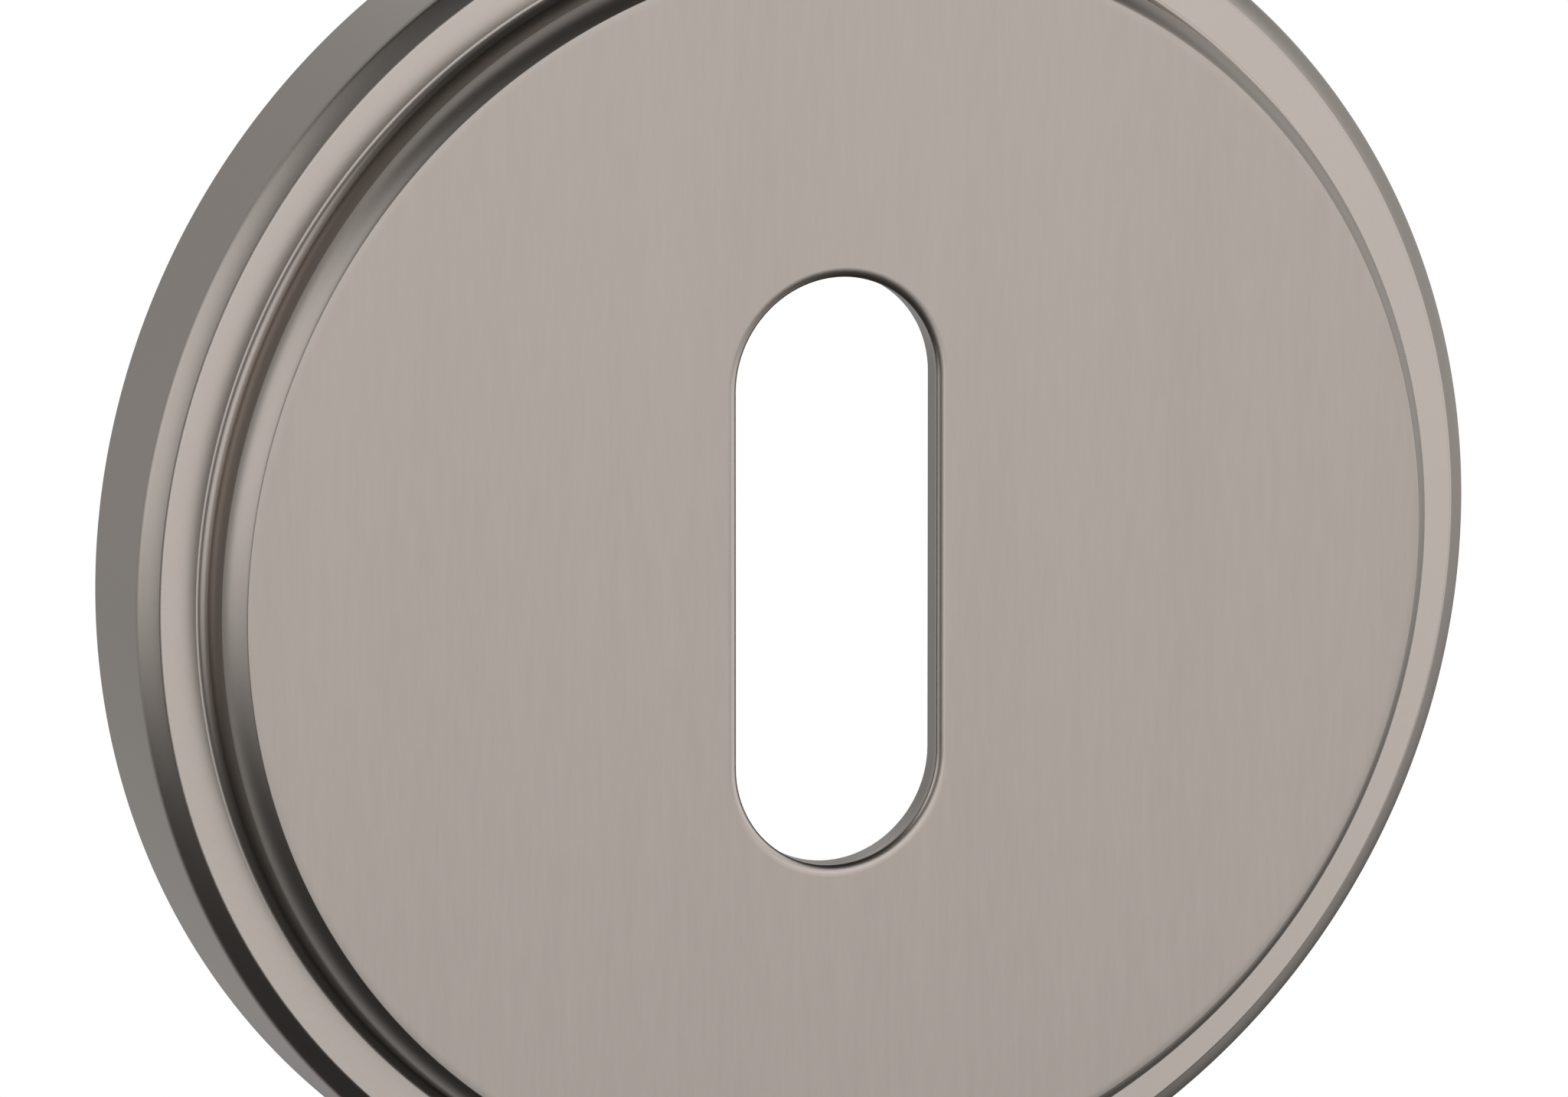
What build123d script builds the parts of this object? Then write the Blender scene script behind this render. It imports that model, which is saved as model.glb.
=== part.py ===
from build123d import *
import os

# A round keyhole rosette: a thin metal cover that snaps on to a hidden mounting base.
# The door face is the XZ plane, the front looks along -Y, and Z is up.
# Sections are drawn with the radius along X and the height above the door along -Y.

# Outside of the cover: side wall, bevelled rim, flat ring and raised disc
COVER_DIAMETER = 52.0
RIM_HEIGHT = 4.75
RIM_BEVEL_IN = 0.7
RIM_BEVEL_DOWN = 0.53
RING_WIDTH = 1.75
DISC_RISE = 2.5

# Shoulder of the disc: a crowned bevel, then an upright wall on a bevelled foot
SHOULDER_IN = 0.64
SHOULDER_DOWN = 0.94
SHOULDER_CROWN = 0.1
FOOT_BEVEL_OUT = 0.24
FOOT_BEVEL_UP = 0.34
FOOT_ROUND = 0.3

# Broken edge where the side wall meets the door
BACK_EDGE_BEVEL = 0.08

# Walls of the cover
FRONT_WALL = 1.0
SHOULDER_WALL = 1.3
SIDE_WALL = 1.4
LEAD_IN = 0.3

# Key slot
SLOT_WIDTH = 7.85
SLOT_LENGTH = 21.75
SLOT_EDGE_ROUND = 0.27

# Snap groove inside the side wall, and the lugs that sit in it
GROOVE_ABOVE_DOOR = 1.0
GROOVE_WIDTH = 1.1
GROOVE_DEPTH = 0.35
LUG_CLEARANCE = 0.1
LUG_TAPER = 0.2
LUG_COUNT = 4
LUG_SPAN_DEGREES = 24.0
LUG_START_DEGREES = 45.0

# Mounting base
BASE_SIDE_CLEARANCE = 0.15
BASE_FLOOR = 2.0
BASE_RIM_WALL = 1.6
KEYWAY_SIDE_CLEARANCE = 4.0
KEYWAY_END_CLEARANCE = 3.0

# Screw holes in the base
SCREW_PITCH = 38.0
SCREW_HOLE_DIAMETER = 4.2
COUNTERSINK_DIAMETER = 8.0
COUNTERSINK_ANGLE = 90.0
BOSS_WALL = 0.8
BOSS_RISE = 1.0

# Radii and heights that follow from the sizes above
cover_radius = COVER_DIAMETER / 2
ring_outer_radius = cover_radius - RIM_BEVEL_IN
foot_radius = ring_outer_radius - RING_WIDTH
cover_height = RIM_HEIGHT + DISC_RISE
bore_radius = cover_radius - SIDE_WALL
recess_radius = foot_radius - SHOULDER_WALL
ring_ceiling_height = RIM_HEIGHT - FRONT_WALL
disc_ceiling_height = cover_height - FRONT_WALL
groove_radius = bore_radius + GROOVE_DEPTH
groove_top_height = GROOVE_ABOVE_DOOR + GROOVE_WIDTH
base_radius = bore_radius - BASE_SIDE_CLEARANCE


def at(radius, height):
    """A point of a section, from its radius and its height above the door."""
    return Vector(radius, -height)


def upright_slot(length, width, depth):
    """A round-ended slot, upright on the axis, from the door face to this depth on both sides."""
    return extrude(Plane.XZ * SlotOverall(length, width, rotation=90), amount=depth, both=True)


def make_cover():
    """The shell: its section turned about the axis, with the key slot cut through the disc."""
    front_edge = at(foot_radius - SHOULDER_IN, cover_height)
    shoulder_edge = at(foot_radius, cover_height - SHOULDER_DOWN)
    ring_inner = at(foot_radius + FOOT_BEVEL_OUT, RIM_HEIGHT)
    front = Line(at(0, cover_height), front_edge)
    shoulder = SagittaArc(front_edge, shoulder_edge, -SHOULDER_CROWN)
    rest = Polyline(
        shoulder_edge,
        at(foot_radius, RIM_HEIGHT + FOOT_BEVEL_UP),
        ring_inner,
        at(ring_outer_radius, RIM_HEIGHT),
        at(cover_radius, RIM_HEIGHT - RIM_BEVEL_DOWN),
        at(cover_radius, BACK_EDGE_BEVEL),
        at(cover_radius - BACK_EDGE_BEVEL, 0),
        at(bore_radius + LEAD_IN, 0),
        at(bore_radius, LEAD_IN),
        at(bore_radius, GROOVE_ABOVE_DOOR),
        at(groove_radius, GROOVE_ABOVE_DOOR),
        at(groove_radius, groove_top_height),
        at(bore_radius, groove_top_height),
        at(bore_radius, ring_ceiling_height),
        at(recess_radius, ring_ceiling_height),
        at(recess_radius, disc_ceiling_height),
        at(0, disc_ceiling_height),
        at(0, cover_height),
    )
    section = make_face(front + shoulder + rest)
    foot = section.vertices().sort_by_distance(ring_inner)[0]
    shell = revolve(fillet(foot, FOOT_ROUND), axis=Axis.Y)
    shell -= upright_slot(SLOT_LENGTH, SLOT_WIDTH, cover_height + FRONT_WALL)
    front_face = shell.faces().sort_by(Axis.Y)[0]
    return fillet(front_face.inner_wires()[0].edges(), SLOT_EDGE_ROUND)


def make_lug():
    """One snap lug, a tapered bead that stands out of the base's rim into the cover's groove."""
    low = GROOVE_ABOVE_DOOR + LUG_CLEARANCE
    high = groove_top_height - LUG_CLEARANCE
    tip_radius = groove_radius - LUG_CLEARANCE
    root_radius = base_radius - BASE_RIM_WALL / 2
    bead = Polyline(
        at(root_radius, low),
        at(base_radius, low),
        at(tip_radius, low + LUG_TAPER),
        at(tip_radius, high - LUG_TAPER),
        at(base_radius, high),
        at(root_radius, high),
        close=True,
    )
    lug = revolve(make_face(bead), axis=Axis.Y, revolution_arc=LUG_SPAN_DEGREES)
    return lug.rotate(Axis.Y, LUG_START_DEGREES - LUG_SPAN_DEGREES / 2)


def make_base():
    """The under-rose: a floor and rim that carry the cover, screw bosses, a keyway and snap lugs."""
    rim_inner_radius = base_radius - BASE_RIM_WALL
    boss_height = BASE_FLOOR + BOSS_RISE
    boss_radius = COUNTERSINK_DIAMETER / 2 + BOSS_WALL
    door_plane = Plane.XZ
    outline = extrude(door_plane * Circle(base_radius), amount=ring_ceiling_height)
    base = outline - extrude(
        door_plane.offset(BASE_FLOOR) * Circle(rim_inner_radius), amount=ring_ceiling_height
    )
    screw_places = door_plane * GridLocations(SCREW_PITCH, 0, 2, 1)
    for place in screw_places:
        base += extrude(place * Circle(boss_radius), amount=boss_height) & outline
    base -= upright_slot(
        SLOT_LENGTH + 2 * KEYWAY_END_CLEARANCE,
        SLOT_WIDTH + 2 * KEYWAY_SIDE_CLEARANCE,
        boss_height + ring_ceiling_height,
    )
    for place in screw_places:
        base -= place * Pos(0, 0, boss_height) * CounterSinkHole(
            SCREW_HOLE_DIAMETER / 2, COUNTERSINK_DIAMETER / 2, 2 * boss_height, COUNTERSINK_ANGLE
        )
    lug = make_lug()
    for step in range(LUG_COUNT):
        base += lug.rotate(Axis.Y, step * 360 / LUG_COUNT)
    return base


os.makedirs("parts", exist_ok=True)
export_step(make_cover(), "parts/rosette_cover.step")
export_step(make_base(), "parts/mounting_base.step")
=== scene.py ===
import math

import bmesh
import bpy
from mathutils import Matrix, Vector


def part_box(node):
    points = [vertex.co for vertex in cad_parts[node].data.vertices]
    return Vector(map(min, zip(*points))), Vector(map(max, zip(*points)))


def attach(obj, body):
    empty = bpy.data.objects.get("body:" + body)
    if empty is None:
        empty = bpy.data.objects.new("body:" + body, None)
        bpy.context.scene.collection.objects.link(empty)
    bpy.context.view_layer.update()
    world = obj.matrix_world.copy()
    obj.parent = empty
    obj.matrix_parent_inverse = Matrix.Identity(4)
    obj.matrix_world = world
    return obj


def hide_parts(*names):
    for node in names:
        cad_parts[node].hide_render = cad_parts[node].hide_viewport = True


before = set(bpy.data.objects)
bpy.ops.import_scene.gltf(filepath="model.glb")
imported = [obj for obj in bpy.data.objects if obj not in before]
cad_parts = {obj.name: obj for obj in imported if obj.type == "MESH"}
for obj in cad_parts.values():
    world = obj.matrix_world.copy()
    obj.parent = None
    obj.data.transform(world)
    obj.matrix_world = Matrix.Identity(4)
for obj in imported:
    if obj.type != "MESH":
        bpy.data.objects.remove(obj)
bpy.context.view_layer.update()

# The door face is the XZ plane, the front looks along -Y, and Z is up. Lengths are in metres.
MM = 0.001

# Sizes that come from the frame
cover_low, cover_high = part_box("rosette_cover")
cover_radius = cover_high.x
cover_height = cover_high.y - cover_low.y

# Outside of the cover
RIM_HEIGHT = 4.75 * MM
RIM_BEVEL_IN = 0.7 * MM
RIM_BEVEL_DOWN = 0.53 * MM
RIM_FRONT_SOFTENING = 0.065 * MM
RIM_SIDE_SOFTENING = 0.155 * MM
RING_WIDTH = 1.75 * MM
BACK_EDGE_BEVEL = 0.08 * MM
ring_outer_radius = cover_radius - RIM_BEVEL_IN
foot_radius = ring_outer_radius - RING_WIDTH

# Shoulder of the raised disc
SHOULDER_IN = 0.64 * MM
SHOULDER_DOWN = 0.94 * MM
SHOULDER_CROWN = 0.1 * MM
SHOULDER_SOFTENING = 0.02 * MM
FRONT_EDGE_SOFTENING = 0.025 * MM
FRONT_BAND_WIDTH = 0.3 * MM
FOOT_BEVEL_OUT = 0.24 * MM
FOOT_BEVEL_UP = 0.34 * MM
FOOT_ROUND = 0.3 * MM
foot_tilt = math.atan2(FOOT_BEVEL_UP, FOOT_BEVEL_OUT)
foot_softening = FOOT_ROUND * math.tan(foot_tilt / 2)
front_edge_radius = foot_radius - SHOULDER_IN
shoulder_height = cover_height - SHOULDER_DOWN

# Inside of the cover
FRONT_WALL = 1.0 * MM
SHOULDER_WALL = 1.3 * MM
SIDE_WALL = 1.4 * MM
LEAD_IN = 0.3 * MM
GROOVE_ABOVE_DOOR = 1.0 * MM
GROOVE_WIDTH = 1.1 * MM
GROOVE_DEPTH = 0.35 * MM
bore_radius = cover_radius - SIDE_WALL
recess_radius = foot_radius - SHOULDER_WALL
groove_radius = bore_radius + GROOVE_DEPTH
groove_top_height = GROOVE_ABOVE_DOOR + GROOVE_WIDTH
ring_ceiling_height = RIM_HEIGHT - FRONT_WALL
disc_ceiling_height = cover_height - FRONT_WALL

# Key slot
SLOT_WIDTH = 7.85 * MM
SLOT_LENGTH = 21.75 * MM
SLOT_EDGE_IN = 0.4 * MM
SLOT_EDGE_DOWN = 0.2 * MM
slot_half_pitch = (SLOT_LENGTH - SLOT_WIDTH) / 2

# Fineness of the round stretches
TURN_STEPS = 320
SHOULDER_STEPS = 14
FOOT_STEPS = 10
SOFTENING_STEPS = 3
SLOT_END_STEPS = 48
SLOT_EDGE_STEPS = 10

# Closeness at which places, doubled corners and face areas count as the same
SAME_PLACE = 0.001 * MM
SAME_CORNER = 0.0001 * MM
SAME_AREA = 0.002 * MM * MM

# Camera: the photograph is this large, and the middle of the door face lies at this pixel
PHOTO_WIDTH = 2048
PHOTO_HEIGHT = 1433
MIDDLE_PIXEL_X = 994.6
MIDDLE_PIXEL_Y = 695.9
PIXELS_PER_METRE = 35916.0
CAMERA_AZIMUTH = math.radians(-22.51)
CAMERA_ELEVATION = math.radians(12.48)
CAMERA_DISTANCE = 1.013
SENSOR_WIDTH = 36.0

# Studio: a tent with soft panels, whose angles are in degrees from the front, to the right and up
TENT_RADIUS = 0.9
TENT_FINENESS = 4
TENT_LEVEL = 0.035
WORLD_LEVEL = 0.4
FRONT_PANEL = {
    "azimuth": 24, "half_width": 14, "side_softness": 9,
    "elevation": 4.5, "half_height": 24.5, "end_softness": 8, "level": 1.27,
}
FRONT_MIDDLE_PANEL = {
    "azimuth": -1, "half_width": 11, "side_softness": 9,
    "elevation": -1, "half_height": 20, "end_softness": 5, "level": 1.27,
}
FRONT_RIGHT_PANEL = {
    "azimuth": 58, "half_width": 17, "side_softness": 10,
    "elevation": 6, "half_height": 28, "end_softness": 9, "level": 0.92,
}
FRONT_LEFT_PANEL = {
    "azimuth": -30, "half_width": 22, "side_softness": 10,
    "elevation": 14, "half_height": 36, "end_softness": 12, "level": 0.13,
}
LEFT_PANEL = {
    "azimuth": -75.5, "half_width": 31, "side_softness": 9,
    "elevation": 12, "half_height": 27, "end_softness": 17, "level": 0.98,
}
RIGHT_PANEL = {
    "azimuth": 82, "half_width": 26, "side_softness": 14,
    "elevation": -10, "half_height": 40, "end_softness": 14, "level": 0.4,
}
BACK_PANEL = {
    "azimuth": -150, "half_width": 42, "side_softness": 10,
    "elevation": 25, "half_height": 52, "end_softness": 22, "level": 0.38,
}
BACK_FLOOR_PANEL = {
    "azimuth": -165, "half_width": 45, "side_softness": 45,
    "elevation": -48, "half_height": 22, "end_softness": 18, "level": 0.35,
}
BACK_RIGHT_PANEL = {
    "azimuth": 140, "half_width": 38, "side_softness": 14,
    "elevation": 8, "half_height": 26, "end_softness": 14, "level": 0.45,
}
PANELS = (
    FRONT_PANEL, FRONT_MIDDLE_PANEL, FRONT_RIGHT_PANEL, FRONT_LEFT_PANEL, LEFT_PANEL, RIGHT_PANEL,
    BACK_PANEL, BACK_FLOOR_PANEL, BACK_RIGHT_PANEL,
)
FLOOR_HEIGHT = -1.0
FLOOR_SIZE = 12.0
FLOOR_COLOUR = (0.85, 0.85, 0.85, 1.0)
WHITE = (1.0, 1.0, 1.0, 1.0)

# Finishes
NICKEL = (0.475, 0.43, 0.393, 1.0)
BRUSHED_NICKEL = (0.418, 0.376, 0.342, 1.0)
NYLON = (0.035, 0.035, 0.037, 1.0)

# The brushing covers faces of the disc that look forward at least this much, where 1 is straight
BRUSHED_FACING = 0.985


# Turned pieces

def at(radius, height):
    """A point of a section, from its radius and its height above the door."""
    return Vector((radius, -height, 0.0))


def draw_line(bm, start, points):
    """Draws straight runs from a vertex through these points, and returns the last vertex."""
    for point in points:
        end = bm.verts.new(point)
        bm.edges.new((start, end))
        start = end
    return start


def turn(bm, point, centre, axis, angle, steps):
    """Draws an arc from a vertex about a centre, and returns the vertex at its end."""
    arc = bmesh.ops.spin(
        bm, geom=[point], cent=centre, axis=axis, angle=angle, steps=steps, use_merge=False
    )
    return next(item for item in arc["geom_last"] if isinstance(item, bmesh.types.BMVert))


def draw_bow(bm, start, end, crown, steps):
    """Draws an arc from a vertex that rises by its crown over the chord, and returns its end."""
    chord = end - start.co
    half = chord.length / 2
    radius = (half ** 2 + crown ** 2) / (2 * crown)
    inward = Vector((-chord.y, chord.x, 0.0)).normalized()
    centre = start.co + chord / 2 + inward * (radius - crown)
    return turn(bm, start, centre, (0, 0, 1), 2 * math.asin(half / radius), steps)


def quarter_oval(across, along, steps):
    """Steps round a quarter of an oval, each as the way left across it and the way gone along it."""
    for step in range(steps + 1):
        turned = math.pi / 2 * step / steps
        yield across * (1 - math.sin(turned)), along * (1 - math.cos(turned))


def circle_edges(bm, radius, height):
    """The edges of the circle that a corner of the section makes when it is turned."""
    def on_circle(vert):
        off = abs(math.hypot(vert.co.x, vert.co.z) - radius)
        return off < SAME_PLACE and abs(vert.co.y + height) < SAME_PLACE

    return [edge for edge in bm.edges if all(on_circle(vert) for vert in edge.verts)]


def soften(bm, edges, width, steps):
    """Rounds these edges."""
    bmesh.ops.bevel(
        bm, geom=edges, offset=width, offset_type="OFFSET", affect="EDGES",
        segments=steps, profile=0.5, material=-1, clamp_overlap=True,
    )


def draw_cover_section(bm):
    """Half the cover's section, from the edge of the disc round the rim to the recess behind it."""
    front = bm.verts.new(at(front_edge_radius - FRONT_BAND_WIDTH, cover_height))
    front_edge = draw_line(bm, front, [at(front_edge_radius, cover_height)])
    shoulder_edge = draw_bow(
        bm, front_edge, at(foot_radius, shoulder_height), SHOULDER_CROWN, SHOULDER_STEPS
    )
    draw_line(bm, shoulder_edge, [
        at(foot_radius, RIM_HEIGHT + FOOT_BEVEL_UP),
        at(foot_radius + FOOT_BEVEL_OUT, RIM_HEIGHT),
        at(ring_outer_radius, RIM_HEIGHT),
        at(cover_radius, RIM_HEIGHT - RIM_BEVEL_DOWN),
        at(cover_radius, BACK_EDGE_BEVEL),
        at(cover_radius - BACK_EDGE_BEVEL, 0.0),
        at(bore_radius + LEAD_IN, 0.0),
        at(bore_radius, LEAD_IN),
        at(bore_radius, GROOVE_ABOVE_DOOR),
        at(groove_radius, GROOVE_ABOVE_DOOR),
        at(groove_radius, groove_top_height),
        at(bore_radius, groove_top_height),
        at(bore_radius, ring_ceiling_height),
        at(recess_radius, ring_ceiling_height),
        at(recess_radius, disc_ceiling_height),
    ])


def draw_slot(bm, half_width, height):
    """Draws the slot's outline at this height above the door, and returns its edges."""
    before = set(bm.edges)
    ends = []
    for side in (1, -1):
        centre = Vector((0.0, -height, side * slot_half_pitch))
        start = bm.verts.new(centre + Vector((side * half_width, 0.0, 0.0)))
        end = turn(bm, start, centre, (0, 1, 0), -math.pi, SLOT_END_STEPS)
        ends.append((start, end))
    (right_top, left_top), (left_bottom, right_bottom) = ends
    bm.edges.new((left_top, left_bottom))
    bm.edges.new((right_bottom, right_top))
    return [edge for edge in bm.edges if edge not in before]


def cut_slot(bm):
    """Walls the slot with its rounded front edge, and closes the disc and its back round it."""
    outlines = []
    for out, down in quarter_oval(SLOT_EDGE_IN, SLOT_EDGE_DOWN, SLOT_EDGE_STEPS):
        outlines.append(draw_slot(bm, SLOT_WIDTH / 2 + out, cover_height - down))
    outlines.append(draw_slot(bm, SLOT_WIDTH / 2, disc_ceiling_height))
    for outer, inner in zip(outlines, outlines[1:]):
        bmesh.ops.bridge_loops(bm, edges=outer + inner)
    front_edges = circle_edges(bm, front_edge_radius - FRONT_BAND_WIDTH, cover_height)
    bmesh.ops.triangle_fill(bm, edges=front_edges + outlines[0], use_beauty=True)
    back_edges = circle_edges(bm, recess_radius, disc_ceiling_height)
    bmesh.ops.triangle_fill(bm, edges=back_edges + outlines[-1], use_beauty=True)


def mark_brushed(bm):
    """Shades the faces smooth, and gives those on the front of the disc the brushed finish."""
    for face in bm.faces:
        face.smooth = True
        raised = -face.calc_center_median().y > disc_ceiling_height
        on_disc = raised and -face.normal.y > BRUSHED_FACING
        face.material_index = 1 if on_disc else 0


def make_cover(satin, brushed):
    """The cover: its section turned about the axis, softened at its edges, with the key slot."""
    bm = bmesh.new()
    draw_cover_section(bm)
    bmesh.ops.spin(
        bm, geom=bm.verts[:] + bm.edges[:], cent=(0, 0, 0), axis=(0, 1, 0),
        angle=math.tau, steps=TURN_STEPS, use_merge=True,
    )
    foot_edges = circle_edges(bm, foot_radius + FOOT_BEVEL_OUT, RIM_HEIGHT)
    soften(bm, foot_edges, foot_softening, FOOT_STEPS)
    for radius, height, width in (
        (ring_outer_radius, RIM_HEIGHT, RIM_FRONT_SOFTENING),
        (cover_radius, RIM_HEIGHT - RIM_BEVEL_DOWN, RIM_SIDE_SOFTENING),
        (foot_radius, shoulder_height, SHOULDER_SOFTENING),
        (front_edge_radius, cover_height, FRONT_EDGE_SOFTENING),
    ):
        soften(bm, circle_edges(bm, radius, height), width, SOFTENING_STEPS)
    cut_slot(bm)
    bmesh.ops.remove_doubles(bm, verts=bm.verts[:], dist=SAME_CORNER)
    bmesh.ops.recalc_face_normals(bm, faces=bm.faces[:])
    mark_brushed(bm)
    mesh = bpy.data.meshes.new("cover")
    bm.to_mesh(mesh)
    bm.free()
    mesh.materials.append(satin)
    mesh.materials.append(brushed)
    cover = bpy.data.objects.new("cover", mesh)
    bpy.context.collection.objects.link(cover)
    shading = cover.modifiers.new("even_shading", "WEIGHTED_NORMAL")
    shading.weight = 100
    shading.thresh = SAME_AREA
    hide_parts("rosette_cover")
    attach(cover, "root")


# Finishes

def add_node(tree, kind, **values):
    """Adds a node and sets its named inputs."""
    node = tree.nodes.new(kind)
    for name, value in values.items():
        node.inputs[name.replace("_", " ")].default_value = value
    return node


def make_surface_grain():
    """A node group: a fine grain and a slow drift, each stretched by its own density."""
    group = bpy.data.node_groups.new("surface_grain", "ShaderNodeTree")
    for name in ("Position", "Grain Density", "Drift Density"):
        group.interface.new_socket(name, in_out="INPUT", socket_type="NodeSocketVector")
    for name in ("Grain", "Drift"):
        group.interface.new_socket(name, in_out="OUTPUT", socket_type="NodeSocketFloat")
    start = group.nodes.new("NodeGroupInput")
    end = group.nodes.new("NodeGroupOutput")
    for name, detail in (("Grain", 3.0), ("Drift", 2.0)):
        stretch = group.nodes.new("ShaderNodeVectorMath")
        stretch.operation = "MULTIPLY"
        noise = add_node(group, "ShaderNodeTexNoise", Scale=1.0, Detail=detail)
        group.links.new(start.outputs["Position"], stretch.inputs[0])
        group.links.new(start.outputs[name + " Density"], stretch.inputs[1])
        group.links.new(stretch.outputs["Vector"], noise.inputs["Vector"])
        group.links.new(noise.outputs["Fac"], end.inputs[name])
    return group


def grained_material(
    name, grain, colour, metallic, grain_density, drift_density, drift_share, tones, roughness, relief
):
    """A material whose colour, roughness and relief follow the surface grain."""
    material = bpy.data.materials.new(name)
    material.use_nodes = True
    tree = material.node_tree
    shader = tree.nodes["Principled BSDF"]
    shader.inputs["Metallic"].default_value = metallic
    place = tree.nodes.new("ShaderNodeTexCoord")
    effect = tree.nodes.new("ShaderNodeGroup")
    effect.node_tree = grain
    effect.inputs["Grain Density"].default_value = grain_density
    effect.inputs["Drift Density"].default_value = drift_density
    tree.links.new(place.outputs["Object"], effect.inputs["Position"])

    tone = tree.nodes.new("ShaderNodeMix")
    tone.data_type = "RGBA"
    darker, lighter = tones
    tone.inputs["A"].default_value = [channel * darker for channel in colour[:3]] + [1.0]
    tone.inputs["B"].default_value = [channel * lighter for channel in colour[:3]] + [1.0]
    blend = tree.nodes.new("ShaderNodeMath")
    blend.operation = "MULTIPLY_ADD"
    blend.inputs[1].default_value = drift_share
    spread = tree.nodes.new("ShaderNodeMath")
    spread.operation = "MULTIPLY"
    spread.inputs[1].default_value = 1.0 - drift_share
    tree.links.new(effect.outputs["Grain"], spread.inputs[0])
    tree.links.new(effect.outputs["Drift"], blend.inputs[0])
    tree.links.new(spread.outputs["Value"], blend.inputs[2])
    tree.links.new(blend.outputs["Value"], tone.inputs["Factor"])
    tree.links.new(tone.outputs["Result"], shader.inputs["Base Color"])

    smooth, rough = roughness
    gloss = add_node(tree, "ShaderNodeMapRange", To_Min=smooth, To_Max=rough)
    tree.links.new(effect.outputs["Grain"], gloss.inputs["Value"])
    tree.links.new(gloss.outputs["Result"], shader.inputs["Roughness"])

    bump = add_node(tree, "ShaderNodeBump", Strength=1.0, Distance=relief)
    tree.links.new(effect.outputs["Grain"], bump.inputs["Height"])
    tree.links.new(bump.outputs["Normal"], shader.inputs["Normal"])
    return material


# Studio

def towards(azimuth, elevation):
    """The direction at this azimuth, from the front to the right, and elevation, in radians."""
    return Vector((
        math.sin(azimuth) * math.cos(elevation),
        -math.cos(azimuth) * math.cos(elevation),
        math.sin(elevation),
    ))


def add_camera():
    """The camera at the photograph's viewing angle and framing."""
    back = towards(CAMERA_AZIMUTH, CAMERA_ELEVATION)
    right = (-back).cross(Vector((0, 0, 1))).normalized()
    up = back.cross(right)
    aside = (MIDDLE_PIXEL_X - PHOTO_WIDTH / 2) / PIXELS_PER_METRE
    above = (PHOTO_HEIGHT / 2 - MIDDLE_PIXEL_Y) / PIXELS_PER_METRE
    data = bpy.data.cameras.new("camera")
    data.sensor_fit = "HORIZONTAL"
    data.sensor_width = SENSOR_WIDTH
    data.lens = PIXELS_PER_METRE * CAMERA_DISTANCE * SENSOR_WIDTH / PHOTO_WIDTH
    camera = bpy.data.objects.new("camera", data)
    turned = Matrix((right, up, back)).transposed().to_4x4()
    place = back * CAMERA_DISTANCE - right * aside - up * above
    camera.matrix_world = Matrix.Translation(place) @ turned
    bpy.context.collection.objects.link(camera)
    bpy.context.scene.camera = camera


def math_node(tree, operation, first, second):
    """Adds a math node on two sockets or numbers, and returns its result."""
    node = tree.nodes.new("ShaderNodeMath")
    node.operation = operation
    for socket, value in zip(node.inputs, (first, second)):
        if isinstance(value, bpy.types.NodeSocket):
            tree.links.new(value, socket)
        else:
            socket.default_value = value
    return node.outputs["Value"]


def soft_band(tree, angle, centre, half_width, softness):
    """A mask that is 1 where an angle is within a band, with soft edges. Angles are in degrees."""
    aside = math_node(tree, "SUBTRACT", angle, math.radians(centre))
    shortest = tree.nodes.new("ShaderNodeMath")
    shortest.operation = "WRAP"
    shortest.inputs[1].default_value = math.pi
    shortest.inputs[2].default_value = -math.pi
    tree.links.new(aside, shortest.inputs[0])
    band = add_node(
        tree, "ShaderNodeMapRange",
        From_Min=math.radians(half_width + softness), From_Max=math.radians(half_width - softness),
    )
    band.interpolation_type = "SMOOTHSTEP"
    tree.links.new(math_node(tree, "ABSOLUTE", shortest.outputs["Value"], 0.0), band.inputs["Value"])
    return band.outputs["Result"]


def add_tent():
    """A dim tent round the part, with soft panels of light, that only its reflections show."""
    bm = bmesh.new()
    bmesh.ops.create_icosphere(bm, subdivisions=TENT_FINENESS, radius=TENT_RADIUS)
    bmesh.ops.reverse_faces(bm, faces=bm.faces[:])
    mesh = bpy.data.meshes.new("tent")
    bm.to_mesh(mesh)
    bm.free()
    tent = bpy.data.objects.new("tent", mesh)
    bpy.context.collection.objects.link(tent)
    tent.visible_camera = False
    tent.visible_shadow = False

    material = bpy.data.materials.new("tent")
    material.use_nodes = True
    tree = material.node_tree
    tree.nodes.clear()
    out = tree.nodes.new("ShaderNodeOutputMaterial")
    glow = add_node(tree, "ShaderNodeEmission", Color=WHITE)
    place = tree.nodes.new("ShaderNodeTexCoord")
    direction = tree.nodes.new("ShaderNodeVectorMath")
    direction.operation = "NORMALIZE"
    split = tree.nodes.new("ShaderNodeSeparateXYZ")
    tree.links.new(place.outputs["Object"], direction.inputs[0])
    tree.links.new(direction.outputs["Vector"], split.inputs["Vector"])
    front = math_node(tree, "MULTIPLY", split.outputs["Y"], -1.0)
    azimuth = math_node(tree, "ARCTAN2", split.outputs["X"], front)
    elevation = math_node(tree, "ARCSINE", split.outputs["Z"], 0.0)
    level = TENT_LEVEL
    for panel in PANELS:
        across = soft_band(
            tree, azimuth, panel["azimuth"], panel["half_width"], panel["side_softness"]
        )
        upright = soft_band(
            tree, elevation, panel["elevation"], panel["half_height"], panel["end_softness"]
        )
        mask = math_node(tree, "MULTIPLY", across, upright)
        shine = math_node(tree, "MULTIPLY", mask, panel["level"])
        level = math_node(tree, "ADD", shine, level)
    tree.links.new(level, glow.inputs["Strength"])
    tree.links.new(glow.outputs["Emission"], out.inputs["Surface"])
    mesh.materials.append(material)


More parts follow.
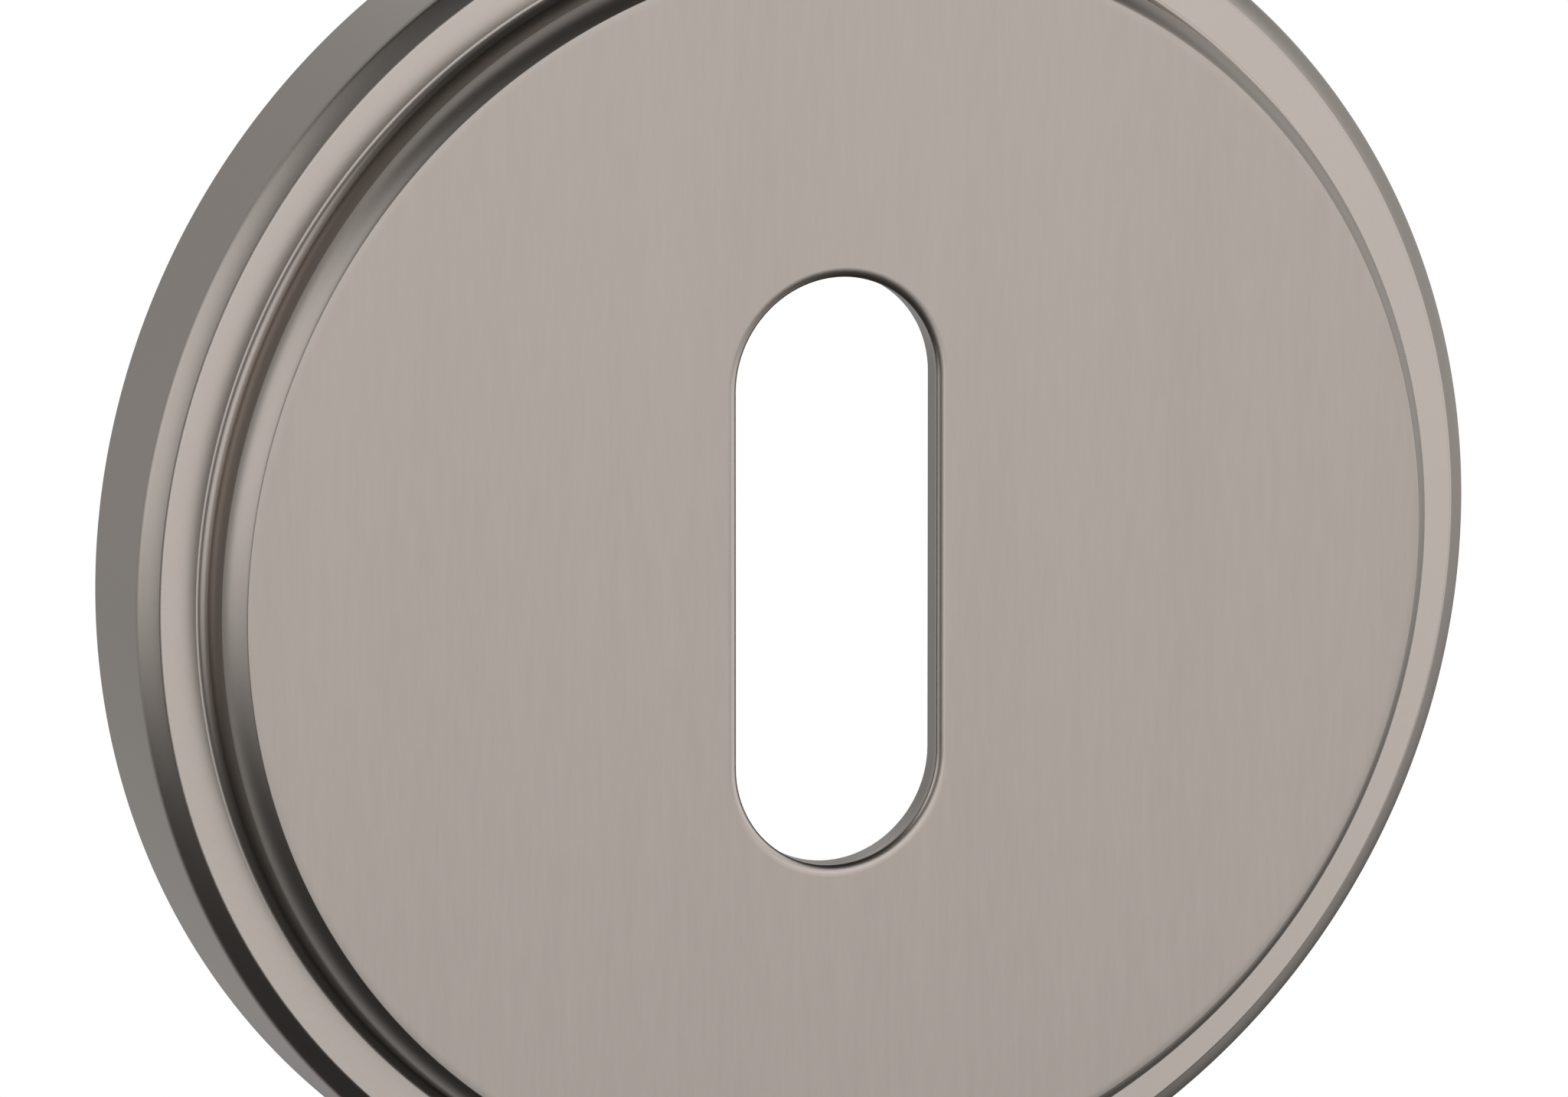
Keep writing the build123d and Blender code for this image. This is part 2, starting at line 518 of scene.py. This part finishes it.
def white_when_seen(tree):
    """A mask that is 1 for rays from the camera, from gloss and through glass, and else 0."""
    path = tree.nodes.new("ShaderNodeLightPath")
    seen = path.outputs["Is Camera Ray"]
    for name in ("Is Glossy Ray", "Is Transmission Ray"):
        larger = tree.nodes.new("ShaderNodeMath")
        larger.operation = "MAXIMUM"
        tree.links.new(seen, larger.inputs[0])
        tree.links.new(path.outputs[name], larger.inputs[1])
        seen = larger.outputs["Value"]
    return seen


def add_floor():
    """A plain pale floor far below the part, white where it is seen."""
    bm = bmesh.new()
    bmesh.ops.create_grid(bm, x_segments=1, y_segments=1, size=FLOOR_SIZE / 2)
    bmesh.ops.translate(bm, verts=bm.verts[:], vec=(0, 0, FLOOR_HEIGHT))
    mesh = bpy.data.meshes.new("floor")
    bm.to_mesh(mesh)
    bm.free()
    floor = bpy.data.objects.new("floor", mesh)
    bpy.context.collection.objects.link(floor)

    material = bpy.data.materials.new("floor")
    material.use_nodes = True
    tree = material.node_tree
    tree.nodes.clear()
    out = tree.nodes.new("ShaderNodeOutputMaterial")
    pale = add_node(tree, "ShaderNodeBsdfDiffuse", Color=FLOOR_COLOUR)
    glow = add_node(tree, "ShaderNodeEmission", Color=WHITE, Strength=1.0)
    mix = tree.nodes.new("ShaderNodeMixShader")
    tree.links.new(white_when_seen(tree), mix.inputs["Fac"])
    tree.links.new(pale.outputs["BSDF"], mix.inputs[1])
    tree.links.new(glow.outputs["Emission"], mix.inputs[2])
    tree.links.new(mix.outputs["Shader"], out.inputs["Surface"])
    mesh.materials.append(material)


def add_world():
    """A white background where it is seen, and a plain even light elsewhere."""
    world = bpy.data.worlds.new("studio")
    world.use_nodes = True
    tree = world.node_tree
    background = tree.nodes["Background"]
    background.inputs["Color"].default_value = WHITE
    level = add_node(tree, "ShaderNodeMapRange", To_Min=WORLD_LEVEL, To_Max=1.0)
    tree.links.new(white_when_seen(tree), level.inputs["Value"])
    tree.links.new(level.outputs["Result"], background.inputs["Strength"])
    bpy.context.scene.world = world


grain = make_surface_grain()
satin_nickel = grained_material(
    "satin_nickel", grain, NICKEL, 1.0,
    grain_density=(9000, 9000, 9000), drift_density=(120, 120, 120), drift_share=0.5,
    tones=(0.97, 1.03), roughness=(0.27, 0.33), relief=0.0000012,
)
brushed_nickel = grained_material(
    "brushed_nickel", grain, BRUSHED_NICKEL, 1.0,
    grain_density=(3300, 500, 460), drift_density=(350, 60, 25), drift_share=0.25,
    tones=(0.86, 1.14), roughness=(0.28, 0.36), relief=0.000003,
)
moulded_nylon = grained_material(
    "moulded_nylon", grain, NYLON, 0.0,
    grain_density=(4000, 4000, 4000), drift_density=(150, 150, 150), drift_share=0.6,
    tones=(0.85, 1.15), roughness=(0.45, 0.6), relief=0.000015,
)

make_cover(satin_nickel, brushed_nickel)
for material_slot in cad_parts["mounting_base"].material_slots:
    material_slot.material = moulded_nylon

bpy.context.scene.view_settings.view_transform = "Standard"
add_camera()
add_world()
add_floor()
add_tent()
